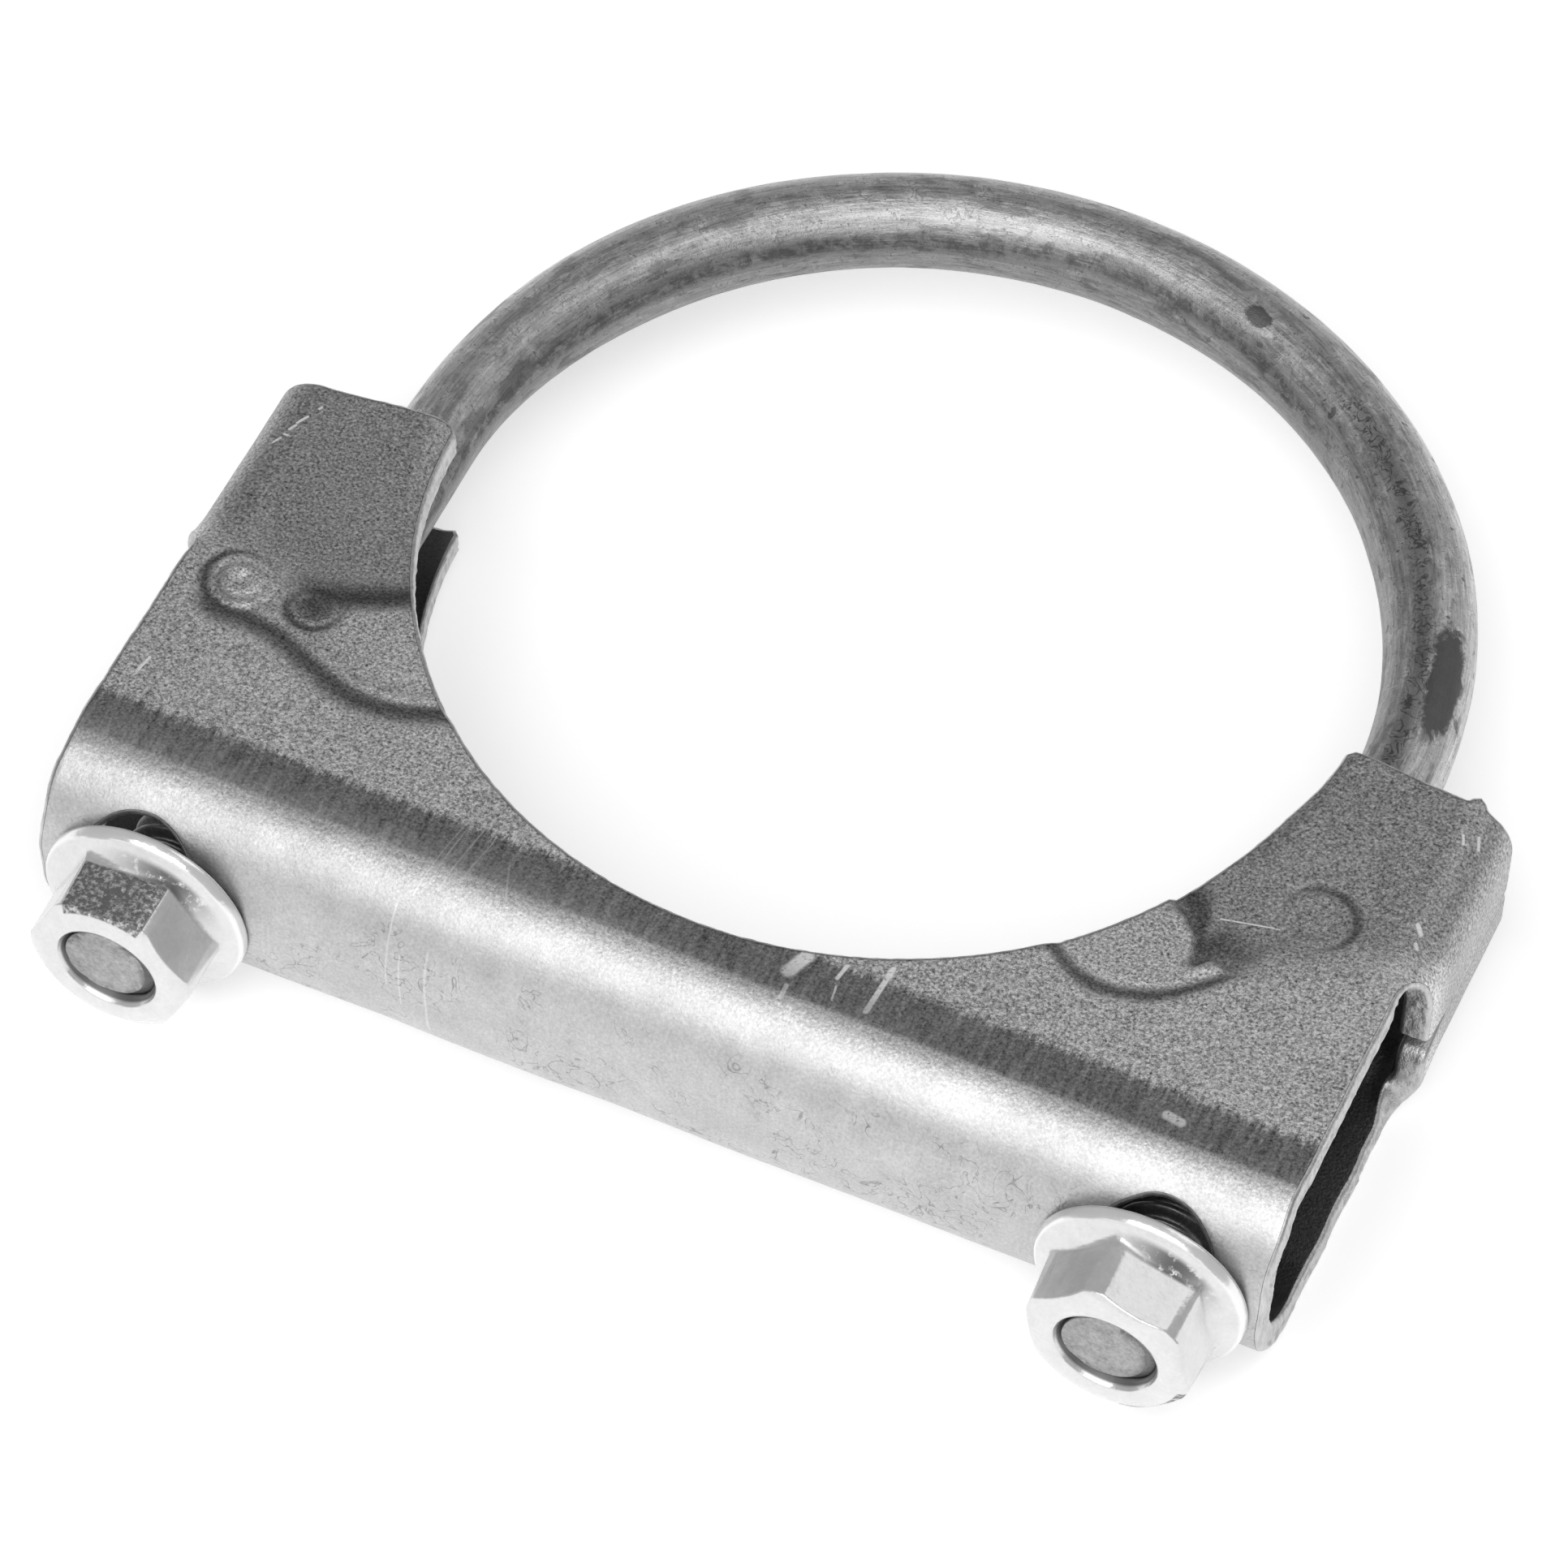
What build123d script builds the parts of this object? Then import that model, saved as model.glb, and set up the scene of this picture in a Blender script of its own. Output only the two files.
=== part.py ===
from build123d import *
import os
from math import sqrt

# U-bolt pipe clamp for a 3 inch pipe: a bent rod, a folded sheet saddle and two flange nuts.
# The origin is the middle of the saddle's pipe seat. +Z runs along the pipe, X runs across
# the two legs, and +Y points from the saddle to the crown of the rod. Millimetres.

# Pipe and rod
PIPE_R = 76.2 / 2
ROD_R = 7.94 / 2
SHANK_R = 7.0 / 2
LEG_CLEARANCE = 0.05
LEG_X = PIPE_R + ROD_R + LEG_CLEARANCE
RING_RISE = 2.8
THREAD_TOP_Y = -14.0
NECK_TOP_Y = 2.6
NECK_TAPER = 2.2
LEG_END_Y = -55.2
END_CHAMFER = 0.5

# Saddle, a sheet folded into a channel with a closed wing round each leg
SHEET = 2.4
CHANNEL_HALF_THICK = 9.4
WING_HALF_THICK = 8.4
CHANNEL_HALF_WIDTH = 51.8
WING_HALF_WIDTH = 53.6
WEB_Y = -48.2
NOSE_R = 8.2
WING_TOP_Y = -1.4
WRAP_BASE_Y = -18.3
WRAP_CORNER_R = 4.3
OVERCUT = 5.0

# The step where the wings are pressed in sits on this line: an arc that leaves the pipe seat,
# then a straight run out to the edge of the sheet
STEP_ARC_START = (24.0, -29.2)
STEP_ARC_MID = (33.0, -29.8)
STEP_ARC_END = (41.0, -25.6)
STEP_EDGE = (WING_HALF_WIDTH + OVERCUT, -16.6)

# Oval slots in the web for the legs, set a little outboard of them and reaching round the nose
SLOT_X = 43.2
SLOT_HALF_WIDTH = 5.6
SLOT_HALF_LENGTH = 7.2
SLOT_DEPTH = 8.0

# Hexagon flange nuts
NUT_HEIGHT = 7.5
NUT_BORE_R = ROD_R + 0.05
NUT_GAP = 0.05
FLANGE_R = 17.5 / 2
FLANGE_RIM = 1.1
FLANGE_TOP_R = 6.5
FLANGE_HEIGHT = 2.3
HEX_ACROSS_FLATS = 12.7
HEX_CORNER_R = HEX_ACROSS_FLATS / sqrt(3)
HEX_FACE_R = 6.1
HEX_CHAMFER = 0.8
COUNTERSINK_R = 4.6
COUNTERSINK_DEPTH = 0.6
LEFT_NUT_TURN = 4.0
RIGHT_NUT_TURN = 42.6

os.makedirs("parts", exist_ok=True)


def save(piece, name):
    piece.label = name
    export_step(piece, f"parts/{name}.step")


# The rod, bent to a half circle, with two straight legs. Each leg narrows to a shank of the
# thread's pitch diameter and widens again over the threaded length.
ring_centre = (0, RING_RISE)
with BuildPart() as u_bolt:
    with BuildLine() as bend_line:
        CenterArc(ring_centre, LEG_X, 0, 180)
    with BuildSketch(Plane(origin=bend_line.line @ 0, z_dir=bend_line.line % 0)):
        Circle(ROD_R)
    sweep(path=bend_line.line)
    for side in (-1, 1):
        leg_axis = Axis((side * LEG_X, 0, 0), (0, 1, 0))
        with BuildSketch():
            with BuildLine():
                Polyline(
                    (side * LEG_X, RING_RISE),
                    (side * (LEG_X + ROD_R), RING_RISE),
                    (side * (LEG_X + ROD_R), NECK_TOP_Y),
                    (side * (LEG_X + SHANK_R), NECK_TOP_Y - NECK_TAPER),
                    (side * (LEG_X + SHANK_R), THREAD_TOP_Y + END_CHAMFER),
                    (side * (LEG_X + ROD_R), THREAD_TOP_Y),
                    (side * (LEG_X + ROD_R), LEG_END_Y + END_CHAMFER),
                    (side * (LEG_X + ROD_R - END_CHAMFER), LEG_END_Y),
                    (side * LEG_X, LEG_END_Y),
                    close=True,
                )
            make_face()
        revolve(axis=leg_axis)
save(u_bolt.part, "u_bolt")

# The area of each cheek that is pressed in, on both sides of the clamp
with BuildSketch() as pressed_area:
    with BuildLine():
        ThreePointArc(STEP_ARC_START, STEP_ARC_MID, STEP_ARC_END)
        Polyline(STEP_ARC_END, STEP_EDGE, (STEP_EDGE[0], OVERCUT), (STEP_ARC_START[0], OVERCUT))
        Line((STEP_ARC_START[0], OVERCUT), STEP_ARC_START)
    make_face()
    mirror(about=Plane.YZ)

# The closed wings, open towards the pipe: a flattened tube in the XZ plane, run along Y
wing_length = WING_TOP_Y - STEP_ARC_MID[1] + OVERCUT
with BuildPart() as wings:
    with BuildSketch(Plane.XZ.offset(-WING_TOP_Y)):
        Rectangle(2 * WING_HALF_WIDTH, 2 * WING_HALF_THICK)
        fillet(vertices(), WRAP_CORNER_R)
    extrude(amount=wing_length)
    with BuildSketch(Plane.XZ.offset(-WING_TOP_Y)):
        Rectangle(2 * (WING_HALF_WIDTH - SHEET), 2 * (WING_HALF_THICK - SHEET))
        fillet(vertices(), WRAP_CORNER_R - SHEET)
    extrude(amount=wing_length, mode=Mode.SUBTRACT)
    # below the wrap the sheet's side is open and its edge is square
    with BuildSketch(Plane.XZ.offset(-WRAP_BASE_Y)):
        with Locations((-WING_HALF_WIDTH, 0), (WING_HALF_WIDTH, 0)):
            Rectangle(2 * (WRAP_CORNER_R + SHEET), 2 * (WING_HALF_THICK - SHEET))
        with Locations((-CHANNEL_HALF_WIDTH - OVERCUT / 2, 0), (CHANNEL_HALF_WIDTH + OVERCUT / 2, 0)):
            Rectangle(OVERCUT, 2 * CHANNEL_HALF_THICK)
    extrude(amount=WRAP_BASE_Y - WEB_Y, mode=Mode.SUBTRACT)
    extrude(pressed_area.sketch, amount=2 * CHANNEL_HALF_THICK, both=True, mode=Mode.INTERSECT)

with BuildPart() as saddle:
    # the folded channel: a U in the YZ plane with a large bend at the nose, run along X and
    # reaching as far as the pipe's axis before the seat is cut
    channel_depth = -WEB_Y
    with BuildSketch(Plane.YZ):
        with Locations((WEB_Y, 0)):
            Rectangle(channel_depth, 2 * CHANNEL_HALF_THICK, align=(Align.MIN, Align.CENTER))
        fillet(vertices().group_by(Axis.X)[0], NOSE_R)
    extrude(amount=CHANNEL_HALF_WIDTH, both=True)
    with BuildSketch(Plane.YZ):
        with Locations((WEB_Y + SHEET, 0)):
            Rectangle(channel_depth, 2 * (CHANNEL_HALF_THICK - SHEET), align=(Align.MIN, Align.CENTER))
        fillet(vertices().group_by(Axis.X)[0], NOSE_R - SHEET)
    extrude(amount=CHANNEL_HALF_WIDTH, both=True, mode=Mode.SUBTRACT)
    # the pressed-in areas give way to the wings
    extrude(pressed_area.sketch, amount=2 * CHANNEL_HALF_THICK, both=True, mode=Mode.SUBTRACT)
    add(wings.part)
    # the pipe seat
    with BuildSketch(Plane.XY.offset(-2 * CHANNEL_HALF_THICK)):
        Circle(PIPE_R)
    extrude(amount=4 * CHANNEL_HALF_THICK, mode=Mode.SUBTRACT)
    # the leg slots
    with BuildSketch(Plane.XZ.offset(-WEB_Y)):
        with Locations((-SLOT_X, 0), (SLOT_X, 0)):
            Ellipse(SLOT_HALF_WIDTH, SLOT_HALF_LENGTH)
    extrude(amount=-SLOT_DEPTH, mode=Mode.SUBTRACT)
save(saddle.part, "saddle")


def flange_nut(leg_x, turn):
    """A one-piece hexagon flange nut on a leg, seated on the web, its outer face at -Y."""
    seat = Plane(origin=(leg_x, WEB_Y - NUT_GAP, 0), x_dir=(1, 0, 0), z_dir=(0, -1, 0))
    with BuildPart(seat) as nut:
        with BuildSketch(seat):
            RegularPolygon(HEX_CORNER_R, 6, rotation=turn)
        extrude(amount=NUT_HEIGHT)
        # the corners of the outer face are turned off to a cone
        with BuildSketch(Plane(origin=seat.origin, x_dir=(1, 0, 0), z_dir=(0, 0, 1))):
            with BuildLine():
                Polyline(
                    (0, 0),
                    (HEX_CORNER_R + OVERCUT, 0),
                    (HEX_CORNER_R + OVERCUT, HEX_CHAMFER - NUT_HEIGHT),
                    (HEX_CORNER_R, HEX_CHAMFER - NUT_HEIGHT),
                    (HEX_FACE_R, -NUT_HEIGHT),
                    (0, -NUT_HEIGHT),
                    close=True,
                )
            make_face()
        revolve(axis=Axis(seat.origin, (0, 1, 0)), mode=Mode.INTERSECT)
        # the flange, a flat cone with a plain rim
        with BuildSketch(Plane(origin=seat.origin, x_dir=(1, 0, 0), z_dir=(0, 0, 1))):
            with BuildLine():
                Polyline(
                    (0, 0),
                    (FLANGE_R, 0),
                    (FLANGE_R, -FLANGE_RIM),
                    (FLANGE_TOP_R, -FLANGE_HEIGHT),
                    (0, -FLANGE_HEIGHT),
                    close=True,
                )
            make_face()
        revolve(axis=Axis(seat.origin, (0, 1, 0)))
        # the bore, countersunk at both ends
        with BuildSketch(seat):
            Circle(NUT_BORE_R)
        extrude(amount=NUT_HEIGHT, mode=Mode.SUBTRACT)
        bore_rims = edges().filter_by(GeomType.CIRCLE)
        bore_rims = bore_rims.filter_by(lambda rim: abs(rim.radius - NUT_BORE_R) < NUT_GAP / 2)
        chamfer(bore_rims, COUNTERSINK_R - NUT_BORE_R, COUNTERSINK_DEPTH)
    return nut.part


save(flange_nut(-LEG_X, LEFT_NUT_TURN), "nut_left")
save(flange_nut(LEG_X, RIGHT_NUT_TURN), "nut_right")
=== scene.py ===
import math

import bpy
import numpy as np
from mathutils import Matrix, Vector


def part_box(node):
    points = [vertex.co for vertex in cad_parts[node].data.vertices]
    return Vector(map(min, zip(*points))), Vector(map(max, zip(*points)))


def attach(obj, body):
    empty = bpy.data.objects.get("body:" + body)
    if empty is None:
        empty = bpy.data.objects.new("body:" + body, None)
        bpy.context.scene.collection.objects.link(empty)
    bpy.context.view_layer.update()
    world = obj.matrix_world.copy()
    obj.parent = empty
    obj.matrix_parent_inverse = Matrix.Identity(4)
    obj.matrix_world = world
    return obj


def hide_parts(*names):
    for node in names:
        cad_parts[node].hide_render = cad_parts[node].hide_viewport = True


# A U-bolt pipe clamp: bent rod, folded sheet saddle, two flange nuts.
# Shapes are worked out in millimetres in the CAD frame and made in metres.
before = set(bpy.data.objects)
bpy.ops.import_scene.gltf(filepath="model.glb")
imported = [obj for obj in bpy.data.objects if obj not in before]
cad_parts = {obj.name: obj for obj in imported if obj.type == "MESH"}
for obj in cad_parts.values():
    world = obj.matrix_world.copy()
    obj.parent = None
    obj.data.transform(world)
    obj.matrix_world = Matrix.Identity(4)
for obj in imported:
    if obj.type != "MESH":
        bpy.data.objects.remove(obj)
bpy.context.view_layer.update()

MM = 0.001
TAU = 2 * math.pi
rng = np.random.default_rng(7)


def node_box(node):
    """The two corners of a CAD node's box, in millimetres."""
    low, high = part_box(node)
    return np.array(low) / MM, np.array(high) / MM


saddle_low, saddle_high = node_box("saddle")
rod_low, rod_high = node_box("u_bolt")
nut_low, nut_high = node_box("nut_right")

# Saddle sizes
PIPE_R = 38.1
SHEET = 2.4
NOSE_R = 8.2
WRAP_R = 4.3
HALF_THICK = saddle_high[2]
WEB_Y = saddle_low[1]
WING_TOP_Y = saddle_high[1]
WING_X = saddle_high[0]
CHANNEL_X = 51.8
WING_DROP = 1.0
WING_CORNER_RISE = 0.9
WRAP_BASE_Y = -18.8
SEAM_HALF_GAP = 0.04
RIM_ROUND = 0.42
GRID = 0.33

# Rod and nut sizes
ROD_R = 3.97
SHANK_R = 3.5
ROD_END_R = 3.74
LEG_X = (nut_low[0] + nut_high[0]) / 2
LEG_END_Y = rod_low[1]
RING_RISE = rod_high[1] - LEG_X - ROD_R
PITCH = 25.4 / 18
THREAD_MINOR_R = 3.12
THREAD_TOP_Y = -14.0
NUT_SEAT_Y = nut_high[1]
NUT_HEIGHT = nut_high[1] - nut_low[1]
FLANGE_R = (nut_high[0] - nut_low[0]) / 2
HEX_FLAT_R = 6.35
LEFT_NUT_TURN = math.radians(4.0)
RIGHT_NUT_TURN = math.radians(42.6)


# ---------------------------------------------------------------- numbers


def smoothstep(low, high, x):
    """0 at low, 1 at high, eased between them. Low may be the larger."""
    t = np.clip((x - low) / (high - low), 0, 1)
    return t * t * (3 - 2 * t)


def smooth_min(a, b, k):
    """The smaller of two values, blended where they are within k of each other."""
    h = np.clip(0.5 + 0.5 * (b - a) / k, 0, 1)
    return b * (1 - h) + a * h - k * h * (1 - h)


def smooth_max(a, b, k):
    return -smooth_min(-a, -b, k)


def bump(x, width):
    """1 at 0, dying out over the width to both sides."""
    return np.exp(-((x / width) ** 2))


def waves(x, y, seed, length, count=7):
    """Smooth random unevenness of about unit height over the plane, with the given wavelength."""
    draw = np.random.default_rng(seed)
    total = np.zeros_like(x)
    for _ in range(count):
        angle = draw.uniform(0, TAU)
        wave = length * draw.uniform(0.6, 1.7)
        phase = draw.uniform(0, TAU)
        total += np.sin((x * math.cos(angle) + y * math.sin(angle)) * TAU / wave + phase)
    return total / math.sqrt(count)


def curve_through(points):
    """A smooth function y(x) through a few given points, flat beyond its ends."""
    xs, ys = np.array(points, float).T
    slopes = np.gradient(ys, xs)

    def value(x):
        x = np.clip(x, xs[0], xs[-1])
        i = np.clip(np.searchsorted(xs, x) - 1, 0, len(xs) - 2)
        span = xs[i + 1] - xs[i]
        t = (x - xs[i]) / span
        t2, t3 = t * t, t * t * t
        return (
            (2 * t3 - 3 * t2 + 1) * ys[i]
            + (t3 - 2 * t2 + t) * span * slopes[i]
            + (3 * t2 - 2 * t3) * ys[i + 1]
            + (t3 - t2) * span * slopes[i + 1]
        )

    return value


# ---------------------------------------------------------------- mesh helpers


def make_piece(name, points, faces, material, fields):
    """A mesh object from millimetre points, with named vector or plain fields for its material."""
    mesh = bpy.data.meshes.new(name)
    mesh.from_pydata((points * MM).tolist(), [], faces)
    for field, values in fields.items():
        kind, slot = ("FLOAT", "value") if values.ndim == 1 else ("FLOAT_VECTOR", "vector")
        data = mesh.attributes.new(field, kind, "POINT")
        data.data.foreach_set(slot, np.ascontiguousarray(values, np.float32).ravel())
    mesh.materials.append(material)
    mesh.polygons.foreach_set("use_smooth", [True] * len(mesh.polygons))
    mesh.update()
    piece = bpy.data.objects.new(name, mesh)
    bpy.context.scene.collection.objects.link(piece)
    return piece


def ring_faces(rows, columns):
    """Quads of a grid of rows that each close on themselves."""
    i = np.arange(rows - 1)[:, None] * columns
    j = np.arange(columns)[None, :]
    k = (j + 1) % columns
    return np.stack([i + j, i + k, i + columns + k, i + columns + j], -1).reshape(-1, 4).tolist()


# ---------------------------------------------------------------- the sheet's fold

WEB_FLAT = HALF_THICK - NOSE_R
NOSE_LENGTH = NOSE_R * math.pi / 2
CHEEK_START = WEB_FLAT + NOSE_LENGTH
NOSE_CENTRE_Y = WEB_Y + NOSE_R
WRAP_START = WING_X - WRAP_R
SEAM_Z = -1.2
SIDE_WALL = HALF_THICK - WING_DROP - WRAP_R
TAB_END = WRAP_START + WRAP_R * math.pi / 2 + SIDE_WALL
# The wrap dies out between these two heights below the wings
WRAP_FADE = (-23.5, -18.6)


def sheet_y(along):
    """Y of the flat cheeks at a distance along the sheet from the middle of the web."""
    return NOSE_CENTRE_Y + np.abs(along) - CHEEK_START


def fold(across, along, depth):
    """The place of a point of the flat sheet once it is folded, at a depth below its outer face."""
    side = np.where(across < 0, -1.0, 1.0)
    up = np.where(along < 0, -1.0, 1.0)
    reach = np.abs(across)
    run = np.abs(along)
    y = sheet_y(along)
    # the nose
    turn = np.clip((run - WEB_FLAT) / NOSE_R, 0, math.pi / 2)
    z = np.minimum(run, WEB_FLAT) + NOSE_R * np.sin(turn)
    nose_y = np.where(run < CHEEK_START, NOSE_CENTRE_Y - NOSE_R * np.cos(turn), y)
    normal_y = -np.cos(turn)
    normal_z = np.sin(turn)
    # the wrap round the wings, which dies out below them
    tightness = np.maximum(smoothstep(*WRAP_FADE, y), 1e-3)
    radius = WRAP_R / tightness
    bend = np.clip((reach - WRAP_START) / radius, 0, math.pi / 2)
    straight = np.maximum(reach - WRAP_START - radius * math.pi / 2, 0)
    x = np.where(reach > WRAP_START, WRAP_START + radius * np.sin(bend), reach)
    fall = np.where(reach > WRAP_START, radius * (1 - np.cos(bend)) + straight, 0)
    normal_x = np.sin(bend)
    # the pressed-in wings and the small relief
    drop, lift = relief(across, along)
    sink = depth - lift
    x = side * (x - normal_x * sink)
    z = up * (z - drop - fall - normal_z * np.cos(bend) * sink)
    return np.stack([x, nose_y - normal_y * sink, z], -1)


# Lines on the cheeks, as (x, y) on the left and on the right of the clamp
LEFT_GROOVE = curve_through(
    [(-54, -18.5), (-51.5, -21.2), (-49.8, -23.9), (-47.6, -25.5), (-44.5, -25.6), (-41.6, -26.0),
     (-37.5, -27.7), (-33.2, -29.1), (-29.5, -28.9), (-26.5, -27.9), (-22, -26)]
)
LEFT_SLOPE = curve_through(
    [(-54, -17.5), (-50, -19.0), (-46, -20.2), (-42, -21.4), (-39, -21.2), (-36, -20.0),
     (-33, -18.4), (-28, -16)]
)
RIGHT_GROOVE = curve_through(
    [(22, -26), (26.2, -28.2), (28.5, -29.7), (30.7, -30.1), (33.2, -29.7), (36, -28.3),
     (38.4, -26.0), (41, -23.6), (46, -20.6), (54, -17.5)]
)
RIGHT_SLOPE = curve_through(
    [(28, -16.5), (32.9, -20.6), (34.6, -21.8), (35.3, -22.8), (35.8, -24.7), (37.5, -24.1),
     (39.2, -24.5), (41, -22.4), (46, -18.8), (54, -16.5)]
)
# The lines slant, so a step across one is this share of the step in Y
LINE_SLANT = 0.85
# How the wing's drop is shared between the two lines, and the lines' half widths
FIRST_SHARE = 0.42
GROOVE_HALF = 0.45
LEFT_SLOPE_HALF = 1.5
RIGHT_SLOPE_HALF = 0.45
# How far the wings' lip turns down at the pipe
LIP_DROP = 0.95

FIRST_PIN = (-46.5, -22.7)
SECOND_PIN = (-40.1, -22.7)
# Rings of the forming-pin marks: x, y, radius, depth, darkness of their soot and painted shade, and
# the side where the painted shade is darkest
PIN_MARKS = [
    (*FIRST_PIN, 1.9, 0.16, 0.60, 3.6),
    (*FIRST_PIN, 3.0, 0.12, 1.30, 3.6),
    (*SECOND_PIN, 2.2, 0.14, 1.30, 4.6),
    (*SECOND_PIN, 1.1, 0.08, 0.90, 1.2),
    (43.0, -17.6, 1.3, 0.05, 0.35, 4.0),
    (43.2, -17.3, 3.1, 0.07, 1.00, 0.6),
]
PIN_LINE = 0.34


def cheek_steps(across, along):
    """How far a point of a cheek lies past each of the two lines where the wings are pressed in."""
    y = sheet_y(along)
    left = across < 0
    groove = np.where(left, y - LEFT_GROOVE(across), y - RIGHT_GROOVE(across)) * LINE_SLANT
    slope = np.where(left, y - LEFT_SLOPE(across), y - RIGHT_SLOPE(across)) * LINE_SLANT
    return y, left, groove, slope


def pin_relief(across, y):
    """The forming-pin marks: each ring sunk, with a low ridge inside it and a dent in the middle."""
    lift = np.zeros_like(y)
    for x, mark_y, radius, depth, *_ in PIN_MARKS:
        distance = np.hypot(across - x, y - mark_y)
        lift -= depth * bump(distance - radius, PIN_LINE)
        lift += 0.5 * depth * bump(distance - radius + 0.62, PIN_LINE)
        lift -= 0.6 * depth * bump(distance, 0.55)
    return lift


def relief(across, along):
    """Sinking of the cheeks at the wings along Z, and small lifts along the sheet's normal."""
    y, left, groove, slope = cheek_steps(across, along)
    cheek = smoothstep(CHEEK_START - 0.5, CHEEK_START + 2.0, np.abs(along))
    beyond_tip = smoothstep(38.5, 42.0, across)
    groove_width = GROOVE_HALF + 2.6 * beyond_tip
    right_slope_width = RIGHT_SLOPE_HALF + 1.6 * smoothstep(35.0, 42.0, across)
    slope_width = np.where(left, LEFT_SLOPE_HALF, right_slope_width)
    first = smoothstep(-groove_width, groove_width, groove)
    second = smoothstep(-slope_width, slope_width, slope)
    drop = WING_DROP * cheek * (FIRST_SHARE * first + (1 - FIRST_SHARE) * second)
    # the groove itself, with a low ridge behind it
    sharp = (1 - beyond_tip) * smoothstep(-50.4, -48.6, across)
    lift = np.where(left, -0.30, -0.20) * bump(groove + 0.25, 0.62) * sharp
    lift += np.where(left, 0.12, 0.03) * bump(groove - 0.75, 0.5) * sharp
    # the torn edge of the right crescent
    torn = smoothstep(32.0, 33.5, across) * (1 - smoothstep(38.6, 40.0, across))
    lift += torn * (0.14 * bump(slope + 0.7, 0.45) - 0.26 * bump(slope - 0.1, 0.4))
    lift += pin_relief(across, y)
    # the lip of the wings, turned down towards the rod
    inside = np.hypot(across, y) - PIPE_R
    lip = smoothstep(-16.5, -3.5, y) * np.clip(1 - inside / 2.4, 0, 1.4) ** 2
    lift -= LIP_DROP * lip
    lift *= cheek
    # the sheet is never quite flat
    lift += 0.035 * waves(across, along, 3, 26.0)
    lift += 0.012 * waves(across, along, 4, 7.0)
    return drop, lift


# Oval slots for the legs in the flat sheet, left and right: centre, half width, half length
LEFT_SLOT = (-43.1, 5.35, 7.9)
RIGHT_SLOT = (42.7, 5.4, 8.2)
# Unevenness of the sheared edges and of the torn feet of the wraps
SHEAR_WAVE = 0.05
TORN_WAVE = 0.12
# Roughness of the sheared wall, point by point, and the slower waves of the whole rim
SHEAR_ROUGH = 0.05
RIM_WAVE = 0.03
# Rounding where a wrap leaves the channel's end, and where the pipe's bite meets the other edges
ROOT_FILLET = 4.2
BITE_CORNER = 0.45
# The right wing is cut back a little from the pipe, and has a burr at its corner
BITE_RELIEF = 0.9
BURR_X = 50.4
BURR_WIDTH = 0.55
BURR_HEIGHT = 0.75


def slot_distance(across, along, centre, half_width, half_length):
    """Distance outside an oval slot, negative in it."""
    ratio = np.hypot((across - centre) / half_width, along / half_length)
    growth = np.hypot((across - centre) / half_width**2, along / half_length**2)
    return ratio * (ratio - 1) / np.maximum(growth, 1e-6)


def sheet_outline(across, along):
    """Signed distance to the edge of the flat sheet, negative inside it."""
    reach = np.abs(across)
    y = sheet_y(along)
    up = np.where(along < 0, -1.0, 1.0)
    top = y - WING_TOP_Y + SHEAR_WAVE * waves(across, along * 0 + up, 11, 9.0)
    top = top - WING_CORNER_RISE * smoothstep(50, 39, reach)
    channel_end = reach - CHANNEL_X + SHEAR_WAVE * waves(along, across * 0 + 1, 12, 6.0)
    plain = np.maximum(channel_end, top)
    tab_end = TAB_END - up * SEAM_Z - SEAM_HALF_GAP
    base = WRAP_BASE_Y + TORN_WAVE * waves(reach, along * 0 + up, 13, 5.0)
    tab = np.maximum(np.maximum(reach - tab_end, base - y), top)
    edge = np.maximum(smooth_min(plain, tab, ROOT_FILLET), top)
    relieved = BITE_RELIEF * smoothstep(-9.5, -1.5, y) * (across > 0)
    pipe = PIPE_R + relieved - np.hypot(across, y)
    edge = smooth_max(edge, pipe, BITE_CORNER)
    for slot in (LEFT_SLOT, RIGHT_SLOT):
        ragged = slot_distance(across, along, *slot) + SHEAR_WAVE * waves(across, along, 14, 3.5)
        edge = np.maximum(edge, -ragged)
    burr = BURR_HEIGHT * bump(across - BURR_X, BURR_WIDTH) * smoothstep(-4, -2, y) * (along > 0)
    return edge - burr


def edge_direction(across, along):
    """Unit direction in the flat sheet in which the edge is nearest."""
    step = 0.02
    da = sheet_outline(across + step, along) - sheet_outline(across - step, along)
    db = sheet_outline(across, along + step) - sheet_outline(across, along - step)
    size = np.maximum(np.hypot(da, db), 1e-9)
    return da / size, db / size


GRID_MARGIN = 2.5
# Grid points this close to the rim line, as a share of the grid, are moved on to it
SNAP_SHARE = 0.3


def snapped_grid():
    """A square grid over the flat sheet. Returns its points, their distances and its cells."""
    half_width = TAB_END + GRID_MARGIN
    half_length = CHEEK_START + WING_TOP_Y - NOSE_CENTRE_Y + 1.5
    columns = int(2 * half_width / GRID)
    rows = int(2 * half_length / GRID)
    xs = np.linspace(-half_width, half_width, columns)
    ys = np.linspace(-half_length, half_length, rows)
    across, along = np.meshgrid(xs, ys)
    across, along = across.ravel(), along.ravel()
    inside = sheet_outline(across, along) + RIM_ROUND
    near = np.abs(inside) < SNAP_SHARE * GRID
    for _ in range(2):
        da, db = edge_direction(across[near], along[near])
        gap = sheet_outline(across[near], along[near]) + RIM_ROUND
        across[near] -= da * gap
        along[near] -= db * gap
    inside = sheet_outline(across, along) + RIM_ROUND
    inside[near] = 0.0
    grid = np.arange(rows * columns).reshape(rows, columns)
    cells = np.stack([grid[:-1, :-1], grid[:-1, 1:], grid[1:, 1:], grid[1:, :-1]], -1).reshape(-1, 4)
    return across, along, inside, cells


def open_edges(faces):
    """The edges that only one face uses."""
    directed = dict.fromkeys((p, q) for face in faces for p, q in zip(face, face[1:] + face[:1]))
    return [(p, q) for p, q in directed if (q, p) not in directed]


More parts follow.
